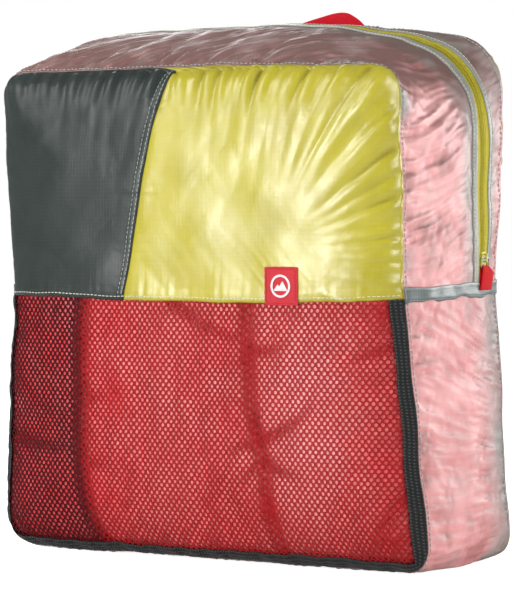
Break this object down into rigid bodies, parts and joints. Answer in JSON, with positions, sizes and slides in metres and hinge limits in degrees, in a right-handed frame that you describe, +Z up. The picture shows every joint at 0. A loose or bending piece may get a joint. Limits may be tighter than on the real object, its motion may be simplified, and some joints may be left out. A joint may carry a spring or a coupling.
{
  "type": "stuff sack",
  "caption": "Box-shaped fabric storage sack stuffed with a sleeping bag, with a mesh lower front, a translucent gusset and a zipped flap at the upper back.",
  "frame": {"origin": "middle of the flat base, on the surface the sack stands on", "axes": "+Z up, front towards -Y, the sack's width along X"},
  "size_m": [0.4874, 0.2174, 0.5239],
  "materials": {
    "ripstop_grey": "slate-grey nylon ripstop, slight sheen",
    "ripstop_lime": "lime nylon ripstop, glossy",
    "ripstop_silver": "translucent silver-grey nylon ripstop, satin",
    "mesh_black": "open polyester mesh, matt",
    "binding_grey": "woven binding tape, matt",
    "zipper_lime": "woven zipper tape and nylon coil",
    "slider_metal": "dark painted zinc",
    "webbing_red": "red woven webbing",
    "thread_red": "dense bartack stitching",
    "label_red": "woven label, matt",
    "label_white": "woven white disc with a plain ring",
    "sleeping_bag_red": "red down-proof nylon, soft sheen"
  },
  "bodies": {
    "sack": {"front_panel_grey": "ripstop_grey", "front_panel_lime": "ripstop_lime", "front_mesh_panel": "mesh_black", "mesh_edge_band": "mesh_black", "front_seam_binding": "binding_grey", "gusset_front_strip": "ripstop_silver", "gusset_lower": "ripstop_silver", "gusset_hem_right": "ripstop_silver", "gusset_hem_left": "ripstop_silver", "back_panel_lower": "ripstop_lime", "rear_seam_binding_lower": "binding_grey", "zipper_tape_front": "zipper_lime", "zipper_coil_front": "zipper_lime", "zipper_stops_front": "slider_metal", "zipper_facing_front": "ripstop_silver", "label_patch": "label_red", "label_emblem": "label_white", "packed_sleeping_bag": "sleeping_bag_red"},
    "back_flap": {"back_panel_upper": "ripstop_lime", "gusset_rear_strip": "ripstop_silver", "rear_seam_binding_upper": "binding_grey", "zipper_tape_rear": "zipper_lime", "zipper_coil_rear": "zipper_lime", "zipper_stops_rear": "slider_metal", "zipper_facing_rear": "ripstop_silver", "handle_sewn_ends": "webbing_red", "handle_bartacks": "thread_red"},
    "slider": {"zipper_slider": "slider_metal"},
    "pull": {"pull_link": "slider_metal", "pull_ribbon": "webbing_red"},
    "handle": {"carry_handle": "webbing_red"}
  },
  "joints": [
    {"name": "flap_open", "type": "hinge", "parent": "sack", "child": "back_flap", "pos_m": [0, 0.1079, 0.257], "axis": [-1, 0, 0], "range_deg": [0, 120]},
    {"name": "zipper_slide", "type": "slide", "parent": "sack", "child": "slider", "axis": [0.0089, 0, 1], "range_m": [0, 0.135]},
    {"name": "pull_swing", "type": "hinge", "parent": "slider", "child": "pull", "pos_m": [0.23145, 0.046, 0.28297], "axis": [0, -1, 0], "range_deg": [0, 150]},
    {"name": "handle_flop", "type": "hinge", "parent": "back_flap", "child": "handle", "pos_m": [0.014, 0.0981, 0.484], "axis": [-1, 0, 0], "range_deg": [0, 120], "stiffness_Nm_per_rad": 0.0005}
  ]
}
